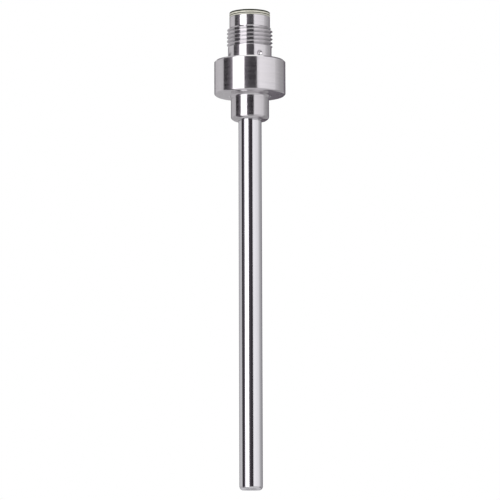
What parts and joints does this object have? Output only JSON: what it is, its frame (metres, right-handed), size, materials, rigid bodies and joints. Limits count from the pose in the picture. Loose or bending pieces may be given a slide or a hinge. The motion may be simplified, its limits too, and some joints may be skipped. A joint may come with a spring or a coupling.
{
  "type": "temperature probe",
  "caption": "Upright stainless resistance temperature probe: thin rounded rod, turned neck and wide collar, and a threaded plug connector with dimpled base and pale rim.",
  "frame": {"origin": "on the rod's axis, at the neck's lower face, where the insertion length starts", "axes": "+Z along the rod's axis towards the plug connector; the contacts stand at 45 degrees to X and Y, and the connector's key is on +Y"},
  "size_m": [0.0186, 0.0186, 0.1239],
  "materials": {
    "polished_steel": "polished stainless steel",
    "turned_steel": "bright turned stainless steel with fine turning lines",
    "carrier_plastic": "natural engineering plastic, glossy",
    "contact_gold": "gold plated",
    "black_rubber": "matte",
    "red_insulation": "satin",
    "white_insulation": "satin",
    "black_shrink": "matte",
    "grey_resin": "cast resin",
    "glass_fibre": "woven glass fibre",
    "tinned_copper": "tinned",
    "platinum": "bare wire",
    "glass_glaze": "fused glass",
    "alumina": "fired",
    "heat_compound": "set paste"
  },
  "bodies": {
    "root": {"probe_tube": "polished_steel", "tip_plug": "polished_steel", "collar_and_neck": "turned_steel", "connector_sleeve": "turned_steel", "contact_carrier": "carrier_plastic", "contact_pin_1": "contact_gold", "contact_pin_2": "contact_gold", "contact_pin_3": "contact_gold", "contact_pin_4": "contact_gold", "carrier_seal": "black_rubber", "lead_wire_1": "red_insulation", "lead_wire_2": "white_insulation", "lead_wire_3": "white_insulation", "lead_wire_4": "red_insulation", "shrink_sleeve_1": "black_shrink", "shrink_sleeve_2": "black_shrink", "shrink_sleeve_3": "black_shrink", "shrink_sleeve_4": "black_shrink", "potting": "grey_resin", "insulating_sleeve": "glass_fibre", "ferrule_right": "tinned_copper", "ferrule_left": "tinned_copper", "chip_lead_right": "platinum", "chip_lead_left": "platinum", "chip_glaze": "glass_glaze", "sensing_chip": "alumina", "heat_compound": "heat_compound"}
  },
  "joints": []
}
